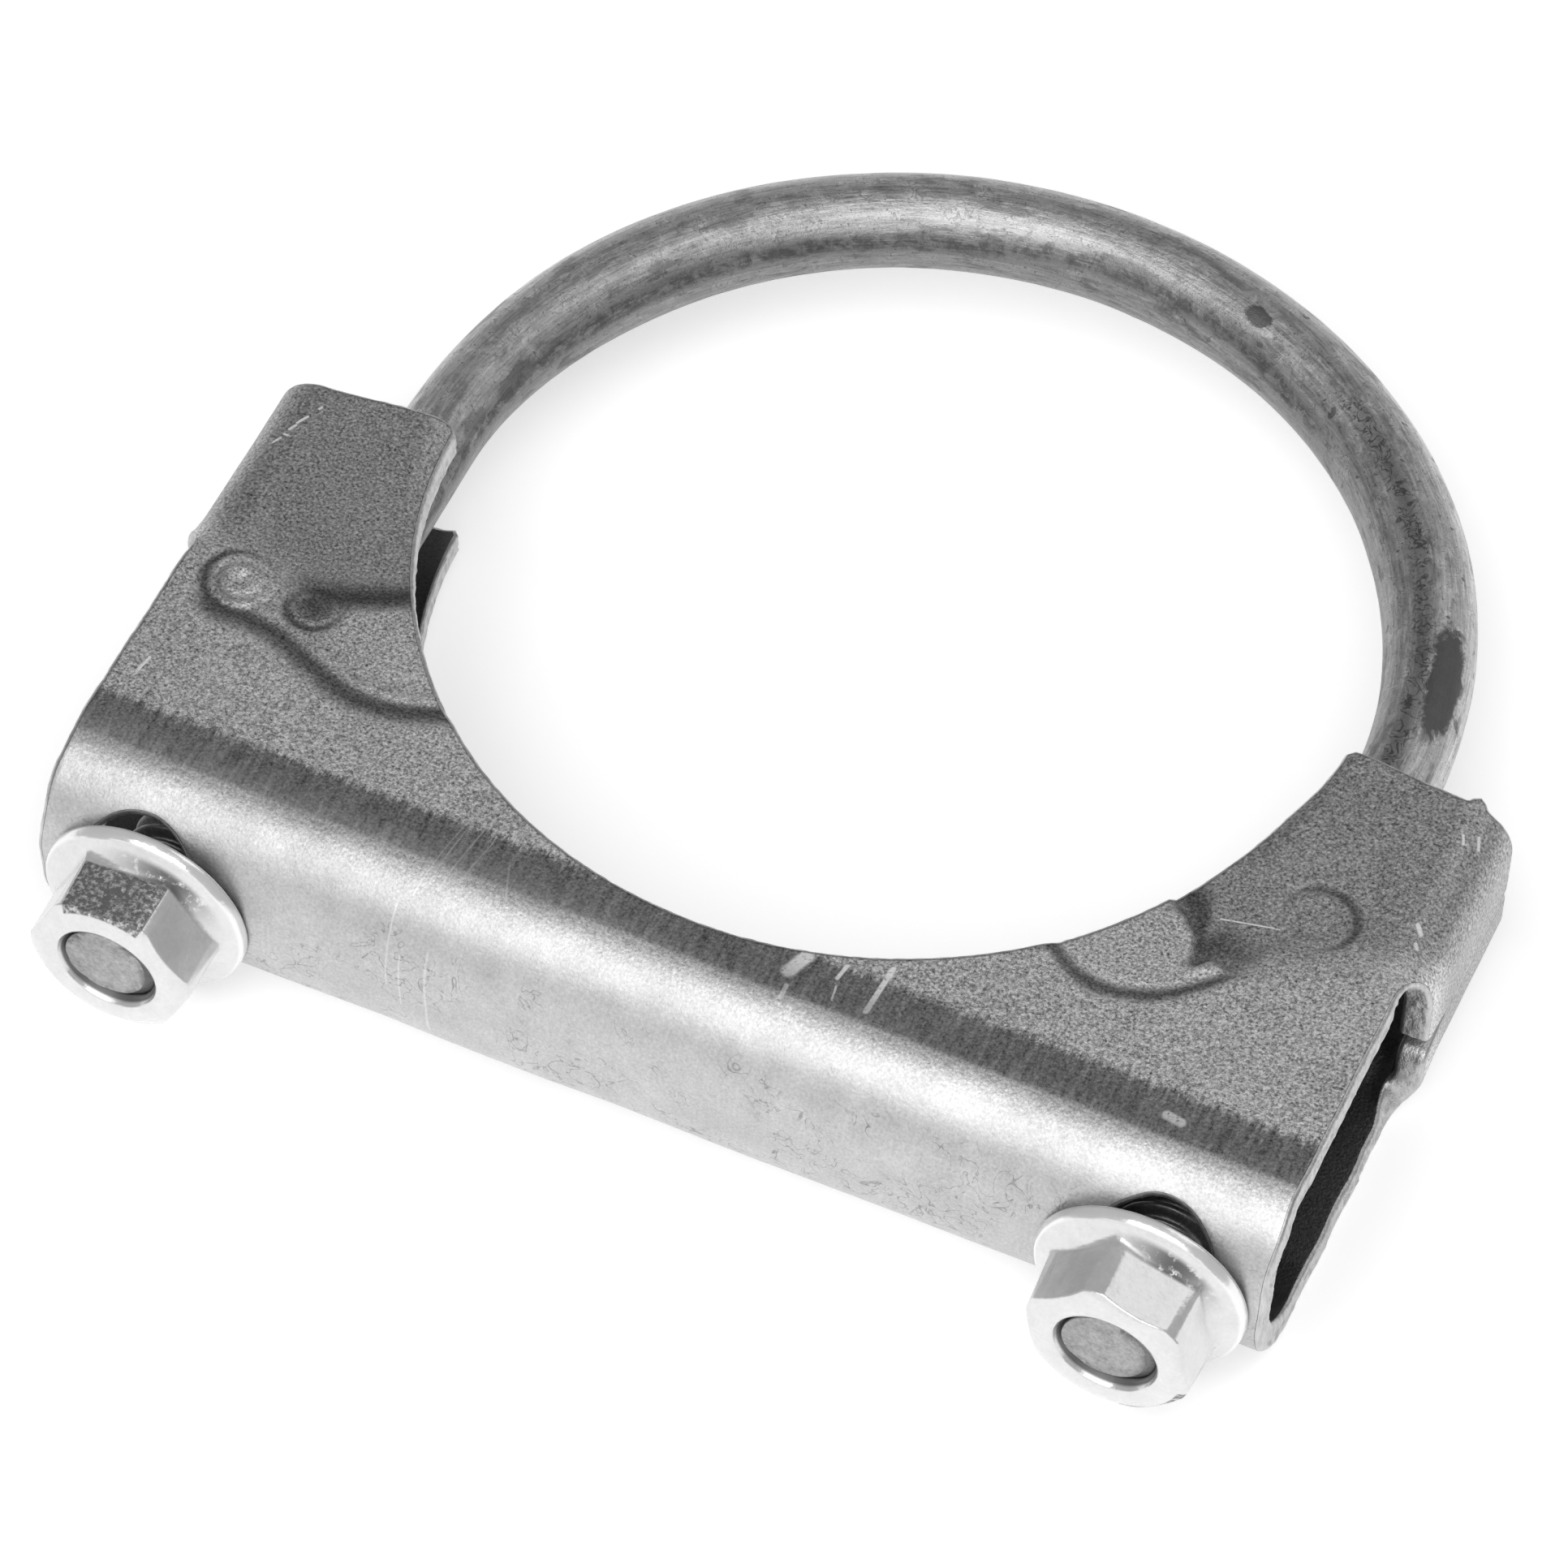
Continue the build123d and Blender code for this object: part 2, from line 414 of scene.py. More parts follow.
def sheet_cells():
    """Cuts a square grid to the sheet's outline, less its rim. Returns points, faces and rim edges."""
    across, along, inside, cells = snapped_grid()
    points = list(zip(across.tolist(), along.tolist()))
    values = inside[cells]
    whole = (values <= 0).all(1)
    faces = cells[whole].tolist()
    cuts = {}

    def crossing(p, q):
        key = (min(p, q), max(p, q))
        if key not in cuts:
            t = inside[p] / (inside[p] - inside[q])
            (xp, yp), (xq, yq) = points[p], points[q]
            cuts[key] = len(points)
            points.append((xp + (xq - xp) * t, yp + (yq - yp) * t))
        return cuts[key]

    for cell in cells[~whole & (values < 0).any(1)].tolist():
        polygon = []
        for p, q in zip(cell, cell[1:] + cell[:1]):
            if inside[p] <= 0:
                polygon.append(p)
            if (inside[p] < 0 < inside[q]) or (inside[q] < 0 < inside[p]):
                polygon.append(crossing(p, q))
        if len(polygon) > 2:
            faces.append(polygon)
    used = sorted({p for face in faces for p in face})
    order = {p: i for i, p in enumerate(used)}
    faces = [[order[p] for p in face] for face in faces]
    kept = np.array([points[p] for p in used])
    return kept, faces, open_edges(faces)


def rim_profile():
    """Steps over the rim, outer face to inner: way out, depth, and whether on the sheared wall."""
    arc = np.linspace(0, math.pi / 2, 5)[1:]
    corner = [(RIM_ROUND * math.sin(t), RIM_ROUND * (1 - math.cos(t)), False) for t in arc]
    wall = [(RIM_ROUND, depth, True) for depth in np.linspace(RIM_ROUND, SHEET - RIM_ROUND, 6)[1:-1]]
    back = [(out, SHEET - depth, False) for out, depth, _ in reversed(corner)]
    return corner + wall + back


# The third value of flat_mm says which part of the skin a point is on
OUTER_FACE = 0.0
INNER_FACE = 0.3
RIM = 1.0


def sheet_fields(flat):
    """What the sheet's material needs to know at each point: flat place, wing or not, and soot with
    painted shade.
    """
    across, along = flat[:, 0], flat[:, 1]
    y, left, groove, slope = cheek_steps(across, along)
    cheek = smoothstep(CHEEK_START, CHEEK_START + 2.0, np.abs(along))
    wing = smoothstep(-1.5, 2.5, slope) * cheek
    sharp = (1 - smoothstep(38.5, 41.0, across)) * smoothstep(-50.2, -47.5, across)
    # painted shade along the pressed groove, with some soot
    soot_and_shade = 0.9 * bump(groove + 0.55, np.where(left, 1.3, 0.7)) * sharp
    # painted shade on the side of each pin-mark ring that is turned from the light, with some soot
    for x, mark_y, radius, _, darkness, side in PIN_MARKS:
        distance = np.hypot(across - x, y - mark_y)
        facing = 0.5 + 0.5 * np.cos(np.arctan2(y - mark_y, across - x) - side)
        soot_and_shade = np.maximum(soot_and_shade, darkness * facing * bump(distance - radius, 0.45))
    # darker all round the second pin mark
    second_mark = np.hypot(across - SECOND_PIN[0], y - SECOND_PIN[1])
    soot_and_shade = np.maximum(soot_and_shade, bump(second_mark, 2.5))
    # painted shade on the slopes that face away from the light
    slope_shade = bump(slope - 0.3, 1.6) * smoothstep(-44.5, -40, across) * left
    slope_shade += bump(slope - 1.3, 1.9) * (1 - smoothstep(36.0, 43.0, across)) * ~left
    soot_and_shade = np.clip(np.maximum(soot_and_shade, slope_shade), 0, 1) * cheek
    return {"flat_mm": flat, "wing": wing, "soot_and_shade": soot_and_shade}


def build_saddle(material):
    """The folded sheet: both faces from the flat cells, joined by strips over the rim."""
    kept, cells, rim = sheet_cells()
    count = len(kept)
    across, along = kept[:, 0], kept[:, 1]
    zeros = np.zeros(count)
    points = [fold(across, along, zeros), fold(across, along, zeros + SHEET)]
    flats = [np.stack([across, along, zeros + face], -1) for face in (OUTER_FACE, INNER_FACE)]
    faces = cells + [[p + count for p in reversed(face)] for face in cells]
    rim_ids = sorted({p for edge in rim for p in edge})
    rim_order = {p: i for i, p in enumerate(rim_ids)}
    ra, rb = across[rim_ids], along[rim_ids]
    da, db = edge_direction(ra, rb)
    previous = rim_ids
    base = 2 * count
    for index, (out, depth, sheared) in enumerate(rim_profile()):
        rough = SHEAR_ROUGH * rng.normal(size=len(ra)) if sheared else 0.0
        rough = rough + RIM_WAVE * waves(ra * 3, rb * 3 + depth, 21 + index, 4.0)
        pa, pb = ra + da * (out + rough), rb + db * (out + rough)
        points.append(fold(pa, pb, np.zeros(len(ra)) + depth))
        flats.append(np.stack([ra, rb, np.full(len(ra), RIM)], -1))
        ids = [base + index * len(rim_ids) + i for i in range(len(rim_ids))]
        for p, q in rim:
            i, j = rim_order[p], rim_order[q]
            faces.append([previous[j], previous[i], ids[i], ids[j]])
        previous = ids
    for p, q in rim:
        i, j = rim_order[p], rim_order[q]
        faces.append([previous[j], previous[i], p + count, q + count])
    fields = sheet_fields(np.concatenate(flats))
    return make_piece("saddle_sheet", np.concatenate(points), faces, material, fields)


# ---------------------------------------------------------------- threads


# Out from the middle of the root to the middle of the crest: where the flank starts and ends
ROOT_SHARE = 0.16
CREST_SHARE = 0.86


def thread_radius(y, turn):
    """Radius of the rolled thread at a height y and an angle round the leg, +Z towards +X."""
    phase = (y / PITCH - turn / TAU) % 1.0
    from_root = np.abs(phase - 0.5) * 2
    flank = np.clip((from_root - ROOT_SHARE) / (CREST_SHARE - ROOT_SHARE), 0, 1)
    flank = 0.7 * flank + 0.3 * flank * flank * (3 - 2 * flank)
    return THREAD_MINOR_R + (ROD_R - THREAD_MINOR_R) * flank


# ---------------------------------------------------------------- the rod

ROD_COLUMNS = 72
THREAD_ROW = 0.1
SHANK_ROW = 0.6
RING_ROWS = 260
# The thread fades out from this far below THREAD_TOP_Y to this far above it
RUN_OUT_BELOW = 1.2
RUN_OUT_ABOVE = 1.4
# How the ends of the legs and the mouths of the nuts widen, and how round the legs' chamfer is
CHAMFER_SLOPE = 0.9
CHAMFER_ROUND = 0.12
# Rings of an end face as shares of its radius, how far its middle stands out, how far it is sunk
CAP_RINGS = [0.985, 0.95, 0.82, 0.66, 0.48, 0.30, 0.14]
CAP_DOME = 0.10
CAP_INSET = 0.02


def rod_rows():
    """Rows from the left leg's end to the right's: centre x and y, outward x and y, height, side."""
    thread = np.arange(LEG_END_Y, THREAD_TOP_Y + 1.5, THREAD_ROW)
    shank = np.arange(thread[-1] + 0.4, RING_RISE, SHANK_ROW)
    leg = np.concatenate([thread, shank])
    left = [(-LEG_X, y, -1.0, 0.0, y, -1) for y in leg]
    ring = [
        (LEG_X * math.cos(t), RING_RISE + LEG_X * math.sin(t), math.cos(t), math.sin(t), math.inf, 0)
        for t in np.linspace(math.pi, 0, RING_ROWS)
    ]
    right = [(LEG_X, y, 1.0, 0.0, y, 1) for y in leg[::-1]]
    return np.array(left + ring + right)


def rod_radius(cx, cy, height, side, span, phi):
    """The rod's radius at each row and angle, and how deep its thread is there, from 0 to 1."""
    # the ring is full bar, the legs are drawn down to the thread's blank
    ring_angle = np.arctan2(cy - RING_RISE, np.abs(cx))
    fullness = np.where(side == 0, smoothstep(0.02, 0.62, ring_angle), 0.0)
    # the bar is a little oval where it is bent, and never quite even
    radius = (SHANK_R + (ROD_R - SHANK_R) * fullness) * (1 + 0.010 * np.cos(2 * phi) * fullness)
    radius += 0.016 * waves(span, phi * ROD_R, 31, 14.0)
    radius += 0.006 * waves(span, phi * ROD_R, 32, 3.0)
    turn = np.where(side < 0, phi - math.pi / 2, math.pi / 2 - phi)
    level = np.where(np.isfinite(height), height, 0)
    threaded = (side != 0) & (height < THREAD_TOP_Y + RUN_OUT_ABOVE)
    cut = smoothstep(THREAD_TOP_Y + RUN_OUT_ABOVE, THREAD_TOP_Y - RUN_OUT_BELOW, level) * threaded
    radius = radius + (thread_radius(level, turn) - radius) * cut
    # chamfered ends; the ring is nowhere near one
    past_end = np.where(side != 0, level - LEG_END_Y, 99.0)
    end_cone = ROD_END_R + CHAMFER_SLOPE * past_end
    return np.minimum(radius, smooth_min(end_cone, radius, CHAMFER_ROUND)), cut + 0 * phi


def rod_end(side, edge, phi):
    """A leg's sheared end face: its rings, and where they are in the bar before it was bent."""
    rings = []
    straight = []
    for share in CAP_RINGS:
        beside = np.cos(phi) * edge * share
        above = np.sin(phi) * edge * share
        y = LEG_END_Y + CAP_INSET - CAP_DOME * (1 - share) + 0.03 * waves(beside, above, 35, 3.0)
        rings.append(np.stack([side * (LEG_X + beside), y, above], -1))
        straight.append(np.stack([beside, above, phi * 0], -1))
    return np.array(rings), np.array(straight)


def build_rod(material):
    """One closed skin along the rod, from the left leg's end to the right's."""
    rows = rod_rows()
    phi = np.arange(ROD_COLUMNS) * TAU / ROD_COLUMNS
    span = np.concatenate([[0], np.cumsum(np.hypot(np.diff(rows[:, 0]), np.diff(rows[:, 1])))])
    cx, cy, ox, oy, height, side = rows.T[..., None]
    grid_phi = np.broadcast_to(phi, (len(rows), ROD_COLUMNS))
    grid_span = np.broadcast_to(span[:, None], grid_phi.shape)
    radius, cut = rod_radius(cx, cy, height, side, grid_span, grid_phi)
    beside, above = np.cos(grid_phi), np.sin(grid_phi)
    body = np.stack([cx + ox * beside * radius, cy + oy * beside * radius, above * radius], -1)
    straight = np.stack([beside * ROD_R, above * ROD_R, grid_span], -1)
    left_cap, left_straight = rod_end(-1, radius[0], phi)
    right_cap, right_straight = rod_end(1, radius[-1], phi)
    skin = np.concatenate([left_cap[::-1], body, right_cap])
    bar = np.concatenate([left_straight[::-1], straight, right_straight])
    # each end face is closed by a fan round its middle
    centres = np.array([skin[0].mean(0), skin[-1].mean(0)])
    points = np.concatenate([skin.reshape(-1, 3), centres])
    faces = ring_faces(len(skin), ROD_COLUMNS)
    last = (len(skin) - 1) * ROD_COLUMNS
    left_centre = len(points) - 2
    for j in range(ROD_COLUMNS):
        k = (j + 1) % ROD_COLUMNS
        faces.append([left_centre, k, j])
        faces.append([left_centre + 1, last + j, last + k])
    cap_points = len(CAP_RINGS) * ROD_COLUMNS
    on_body = slice(cap_points, cap_points + cut.size)
    thread_share = np.zeros(len(points))
    thread_share[on_body] = cut.ravel()
    end_share = np.ones(len(points))
    end_share[on_body] = 0.0
    bar_points = np.concatenate([bar.reshape(-1, 3), np.zeros((2, 3))])
    fields = {"rod_mm": bar_points, "thread": thread_share, "end": end_share}
    return make_piece("bent_rod", points, faces, material, fields)


# ---------------------------------------------------------------- nuts

HEX_FOOT_R = 7.20
HEX_WORN_R = 6.90
NUT_FACE_R = 5.75
NUT_CHAMFER = math.tan(math.radians(31))
FLANGE_RIM = 1.05
RIM_LEAN = 0.18
FLANGE_SLOPE = 0.50
NUT_MOUTH_R = 4.30
NUT_MOUTH_DEPTH = 0.6
DARK_REFLECTION_SIDE = math.radians(64)
NUT_FIT = 0.07
NUT_CREST_R = 3.36
# The bore's widest radius below the mouth, and the countersink in the seat
BORE_R = ROD_R + NUT_FIT + 0.04
SEAT_MOUTH_R = ROD_R + 0.2
SEAT_MOUTH_DEPTH = 0.6
NUT_COLUMNS = 360
BORE_ROW = 0.1
# Fillets of the corners of the nut's profile, all but its first and last
NUT_FILLETS = [0.1, 0.15, 0.3, 0.35, 0.45, 0.16, 0.6, 0.12, 0.12]
# Blend of the hexagon's flats with its worn corners
HEX_EDGE = 0.02


def rounded(corners, fillets, steps=4):
    """Rounds the corners of many profiles at once. corners: list of (r, t) arrays."""
    line = [corners[0]]
    for i in range(1, len(corners) - 1):
        before, here, after = corners[i - 1], corners[i], corners[i + 1]
        size = fillets[i - 1]
        if size == 0:
            line.append(here)
            continue
        back = before - here
        ahead = after - here
        back_length = np.linalg.norm(back, axis=-1, keepdims=True)
        ahead_length = np.linalg.norm(ahead, axis=-1, keepdims=True)
        reach_back = np.minimum(size, 0.48 * back_length)
        reach_ahead = np.minimum(size, 0.48 * ahead_length)
        start = here + back / back_length * reach_back
        end = here + ahead / ahead_length * reach_ahead
        for s in np.linspace(0, 1, steps + 1):
            line.append((1 - s) ** 2 * start + 2 * s * (1 - s) * here + s * s * end)
    line.append(corners[-1])
    return line


def nut_profile(phi, turn, rim_r):
    """The nut's profile from the seat over the flange and the hexagon to the mouth of the bore."""
    in_facet = (phi - turn) % (TAU / 6) - TAU / 12
    sharp = HEX_FLAT_R / np.cos(in_facet)
    hex_foot = smooth_min(sharp, HEX_FOOT_R, HEX_EDGE)
    hex_top = smooth_min(sharp, HEX_WORN_R, HEX_EDGE)
    chamfer_base = NUT_HEIGHT - (hex_top - NUT_FACE_R) * NUT_CHAMFER
    foot = FLANGE_RIM + (rim_r - RIM_LEAN - hex_foot) * FLANGE_SLOPE
    corners = [
        (SEAT_MOUTH_R, SEAT_MOUTH_DEPTH),
        (NUT_MOUTH_R + 0.3, 0.0),
        (rim_r - 0.1, 0.0),
        (rim_r, 0.25),
        (rim_r - RIM_LEAN, FLANGE_RIM),
        (hex_foot, foot),
        (hex_top, chamfer_base),
        (NUT_FACE_R, NUT_HEIGHT - 0.03),
        (NUT_MOUTH_R + 0.38, NUT_HEIGHT),
        (NUT_MOUTH_R, NUT_HEIGHT - 0.16),
        (BORE_R, NUT_HEIGHT - NUT_MOUTH_DEPTH),
    ]
    full = np.ones(len(phi))
    return rounded([np.stack([r * full, t * full], -1) for r, t in corners], NUT_FILLETS)


def bore_profile(phi):
    """The threaded bore, back from the mouth to the seat: rows of radius and height."""
    full = np.ones(len(phi))
    rows = []
    for t in np.arange(NUT_HEIGHT - NUT_MOUTH_DEPTH - BORE_ROW, 0.65, -BORE_ROW):
        bore = np.maximum(thread_radius(NUT_SEAT_Y - t, math.pi / 2 - phi) + NUT_FIT, NUT_CREST_R)
        mouth = BORE_R - CHAMFER_SLOPE * (NUT_HEIGHT - NUT_MOUTH_DEPTH - t)
        seat_mouth = SEAT_MOUTH_R - CHAMFER_SLOPE * (t - SEAT_MOUTH_DEPTH)
        rows.append(np.stack([np.maximum(bore, np.maximum(mouth, seat_mouth)), full * t], -1))
    return rows


def build_nut(name, leg_x, turn, dull_facet, seed, material):
    """A one-piece hexagon flange nut. Its profile is worked out afresh at each angle round it."""
    phi = np.arange(NUT_COLUMNS) * TAU / NUT_COLUMNS
    rim_r = FLANGE_R - 0.02 + 0.02 * waves(np.cos(phi) * 8, np.sin(phi) * 8, seed, 9.0)
    profile = np.array(nut_profile(phi, turn, rim_r) + bore_profile(phi))
    radii, heights = profile[..., 0], profile[..., 1]
    # barely uneven, as plating and tumbling leave it
    uneven = 0.012 * waves(np.cos(phi) * radii * 1.1, heights + np.sin(phi) * radii, seed + 1, 3.2)
    radii = radii + uneven * (radii > ROD_R + 0.5)
    points = np.stack([leg_x + np.cos(phi) * radii, NUT_SEAT_Y - heights, np.sin(phi) * radii], -1)
    faces = ring_faces(len(radii), NUT_COLUMNS)
    # close the loop back from the bore to the seat's countersink
    last = (len(radii) - 1) * NUT_COLUMNS
    for j in range(NUT_COLUMNS):
        k = (j + 1) % NUT_COLUMNS
        faces.append([last + j, last + k, k, j])
    facet = ((phi - turn) // (TAU / 6)) % 6
    etched = np.broadcast_to(facet == dull_facet, radii.shape).astype(float)
    # painted dark reflection in the corner above the flange
    beside = (phi - DARK_REFLECTION_SIDE + math.pi) % TAU - math.pi
    dark_reflection = np.broadcast_to(bump(beside, 0.5), radii.shape)
    fields = {"nut_mm": np.stack([radii, heights, etched], -1).reshape(-1, 3), "dark_reflection": dark_reflection.ravel()}
    return make_piece(name, points.reshape(-1, 3), faces, material, fields)


# ---------------------------------------------------------------- materials


class Nodes:
    """Short forms for building a material's node tree."""

    def __init__(self, name):
        self.material = bpy.data.materials.new(name)
        self.material.use_nodes = True
        self.tree = self.material.node_tree
        self.shader = self.tree.nodes["Principled BSDF"]

    def link(self, value, socket):
        if isinstance(value, bpy.types.NodeSocket):
            self.tree.links.new(value, socket)
        else:
            socket.default_value = value

    def math(self, operation, a, b=0.0):
        node = self.tree.nodes.new("ShaderNodeMath")
        node.operation = operation
        self.link(a, node.inputs[0])
        self.link(b, node.inputs[1])
        return node.outputs[0]

    def add(self, a, b):
        return self.math("ADD", a, b)

    def sub(self, a, b):
        return self.math("SUBTRACT", a, b)

    def mul(self, a, b):
        return self.math("MULTIPLY", a, b)

    def vary(self, value, noise, amount):
        """The value, moved up and down by a noise that runs from 0 to 1."""
        return self.add(value, self.mul(self.sub(noise, 0.5), amount))

    def step(self, low, high, value):
        """0 at low, 1 at high, eased between them. Low may be the larger."""
        node = self.tree.nodes.new("ShaderNodeMapRange")
        node.interpolation_type = "SMOOTHSTEP"
        self.link(value, node.inputs["Value"])
        node.inputs["From Min"].default_value = low
        node.inputs["From Max"].default_value = high
        return node.outputs["Result"]

    def lerp(self, share, a, b):
        """a where share is 0, b where it is 1."""
        node = self.tree.nodes.new("ShaderNodeMix")
        self.link(share, node.inputs["Factor"])
        self.link(a, node.inputs["A"])
        self.link(b, node.inputs["B"])
        return node.outputs["Result"]

    def split(self, vector):
        node = self.tree.nodes.new("ShaderNodeSeparateXYZ")
        self.link(vector, node.inputs[0])
        return node.outputs

    def join(self, x, y, z):
        node = self.tree.nodes.new("ShaderNodeCombineXYZ")
        for value, socket in zip((x, y, z), node.inputs):
            self.link(value, socket)
        return node.outputs[0]

    def field(self, name, output="Vector"):
        node = self.tree.nodes.new("ShaderNodeAttribute")
        node.attribute_name = name
        return node.outputs[output]

    def place(self):
        """The point on the object, in millimetres."""
        coordinates = self.tree.nodes.new("ShaderNodeTexCoord")
        node = self.tree.nodes.new("ShaderNodeVectorMath")
        node.operation = "SCALE"
        self.link(coordinates.outputs["Object"], node.inputs[0])
        node.inputs["Scale"].default_value = 1 / MM
        return node.outputs[0]

    def noise(self, vector, scale, detail=2.0, roughness=0.5, distortion=0.0):
        node = self.tree.nodes.new("ShaderNodeTexNoise")
        self.link(vector, node.inputs["Vector"])
        node.inputs["Scale"].default_value = scale
        node.inputs["Detail"].default_value = detail
        node.inputs["Roughness"].default_value = roughness
        node.inputs["Distortion"].default_value = distortion
        return node.outputs["Fac"]

    def stretch(self, vector, x, y, z):
        node = self.tree.nodes.new("ShaderNodeVectorMath")
        node.operation = "MULTIPLY"
        self.link(vector, node.inputs[0])
        node.inputs[1].default_value = (x, y, z)
        return node.outputs[0]

    def near_line(self, x, y, start, end, width):
        """1 on the straight line between two points of the x, y field, 0 beyond width."""
        (x0, y0), (x1, y1) = start, end
        length = math.hypot(x1 - x0, y1 - y0)
        ux, uy = (x1 - x0) / length, (y1 - y0) / length
        dx, dy = self.sub(x, x0), self.sub(y, y0)
        run = self.add(self.mul(dx, ux), self.mul(dy, uy))
        off = self.add(self.mul(dx, -uy), self.mul(dy, ux))
        past = self.sub(run, self.math("MINIMUM", self.math("MAXIMUM", run, 0.0), length))
        gap = self.math("SQRT", self.add(self.mul(off, off), self.mul(past, past)))
        return self.step(width, 0.5 * width, gap)

    def near_lines(self, x, y, lines):
        """1 on the nearest of several lines."""
        nearest = 0.0
        for start, end, width in lines:
            nearest = self.math("MAXIMUM", self.near_line(x, y, start, end, width), nearest)
        return nearest

    def finish(self, grey, roughness, bumps):
        """bumps: pairs of a height field and its depth in metres."""
        colour = self.join(grey, grey, grey)
        self.link(colour, self.shader.inputs["Base Color"])
        self.link(roughness, self.shader.inputs["Roughness"])
        self.shader.inputs["Metallic"].default_value = 1.0
        normal = None
        for height, depth in bumps:
            node = self.tree.nodes.new("ShaderNodeBump")
            node.inputs["Strength"].default_value = 1.0
            node.inputs["Distance"].default_value = depth
            self.link(height, node.inputs["Height"])
            if normal is not None:
                self.link(normal, node.inputs["Normal"])
            normal = node.outputs["Normal"]
        self.link(normal, self.shader.inputs["Normal"])
        return self.material


# Bright nicks on the flat sheet: start, end and half width. The second number of each point is
# counted from CHEEK_START.
NICKS = [
    ((8.6, 0.5), (9.3, 2.3), 0.78),
    ((9.0, -0.8), (9.0, -1.9), 0.24),
    ((12.5, 2.8), (12.25, 1.4), 0.22),
    ((12.5, 0.7), (12.7, -0.6), 0.12),
    ((15.8, 4.0), (15.5, -0.5), 0.30),
    ((15.7, -1.8), (15.5, -3.3), 0.16),
    ((40.0, 0.35), (41.2, 0.15), 0.55),
    ((-49.6, 5.2), (-49.3, 6.9), 0.16),
    ((36.4, 19.7), (40.9, 20.7), 0.085),
    ((50.4, 25.7), (50.9, 25.1), 0.28),
    ((50.9, 24.0), (51.2, 23.6), 0.22),
    ((51.6, 35.8), (52.0, 34.9), 0.20),
    ((50.4, 35.2), (50.7, 34.5), 0.15),
    ((-50.9, 31.6), (-50.5, 32.1), 0.18),
    ((-50.4, 32.6), (-50.0, 32.5), 0.14),
    ((-50.2, 33.2), (-49.9, 33.7), 0.20),
    ((-49.9, 34.0), (-49.4, 34.9), 0.17),
    ((-48.9, 36.0), (-48.8, 36.2), 0.16),
]
# Faint scratches by the cheek, given the same way
SCRATCHES = [
    ((-20.9, -4.6), (-19.5, 4.4), 0.10),
    ((-20.1, -3.2), (-19.1, 5.6), 0.08),
    ((-19.2, -3.6), (-18.0, 4.2), 0.10),
    ((-17.9, -2.4), (-17.1, 1.8), 0.08),
    ((-15.0, 0.5), (-13.9, -2.5), 0.12),
]
# Faint scratches on the web, counted from its middle
WEB_SCRATCHES = [
    ((-18.4, 5.5), (-18.0, -3.5), 0.14),
    ((-20.6, 4.5), (-20.3, -1.0), 0.10),
    ((-21.9, 8.5), (-21.5, 1.0), 0.10),
]


def sheet_band(n, run, streaks):
    """The burnished band over the bend between nose and cheek, with ragged edges."""
    ragged = n.mul(n.sub(streaks, 0.5), 3.4)
    band_in = n.step(CHEEK_START - 1.9, CHEEK_START - 1.2, n.add(run, n.mul(ragged, 0.25)))
    band_out = n.step(CHEEK_START + 3.1, CHEEK_START + 2.1, n.add(run, ragged))
    return n.mul(band_in, band_out)


def sheet_stain(n, place, run):
    """Thin wandering water marks on the web."""
    stain = n.math("ABSOLUTE", n.sub(n.noise(place, 0.42, 2.0, 0.55, 1.1), 0.5))
    stain = n.mul(n.step(0.020, 0.002, stain), n.step(0.47, 0.58, n.noise(place, 0.17, 2.0, 0.5)))
    return n.mul(stain, n.step(8.0, 5.5, run))


def sheet_marks(n, base, place, across, along, cheek):
    """Bright nicks, and faint scratches across the band. Returns the tone and the nicks."""
    broken = n.step(0.24, 0.42, n.noise(place, 2.3, 2.0, 0.6))
    past_cheek = n.sub(along, CHEEK_START)
    nicks = n.mul(n.near_lines(across, past_cheek, NICKS), broken)
    base = n.lerp(n.mul(nicks, n.lerp(cheek, 0.35, 0.9)), base, 0.95)
    by_cheek = n.near_lines(across, past_cheek, SCRATCHES)
    on_web = n.near_lines(across, along, WEB_SCRATCHES)
    scratches = n.mul(n.math("MAXIMUM", by_cheek, on_web), broken)
    return n.lerp(n.mul(scratches, 0.45), base, 0.75), nicks


